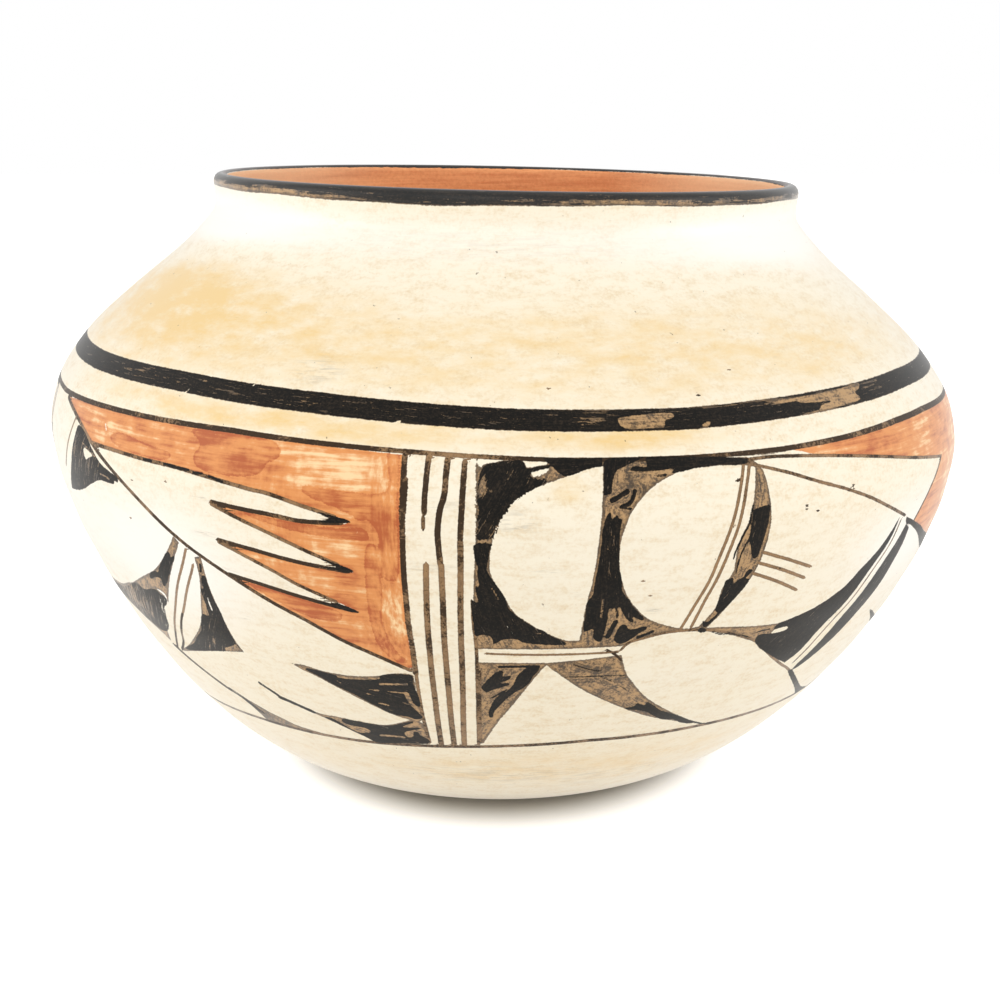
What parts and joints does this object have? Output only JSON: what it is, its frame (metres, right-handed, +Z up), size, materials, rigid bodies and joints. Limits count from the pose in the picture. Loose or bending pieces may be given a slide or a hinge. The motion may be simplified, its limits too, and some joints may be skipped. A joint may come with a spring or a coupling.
{
  "type": "ceramic jar",
  "caption": "Round coil-built ceramic jar with a wide belly, a sloping shoulder, a short neck with a rolled lip and a flat foot; it holds dry goods, water or flowers.",
  "frame": {"origin": "middle of the flat foot, on the surface the jar stands on", "axes": "+Z up along the axis of the jar; -Y faces the viewer of the picture"},
  "size_m": [0.28, 0.28, 0.18],
  "materials": {
    "slip": "burnished cream slip over fired clay, with painted bands and figures",
    "rim_paint": "dark brown-black mineral paint on a burnished lip"
  },
  "bodies": {
    "root": {"base_pat": "slip", "lower_coil_1": "slip", "lower_coil_2": "slip", "lower_coil_3": "slip", "lower_coil_4": "slip", "belly_coil_1": "slip", "belly_coil_2": "slip", "shoulder_coil_1": "slip", "shoulder_coil_2": "slip", "shoulder_coil_3": "slip", "neck_coil": "slip", "rim_coil": "rim_paint"}
  },
  "joints": []
}
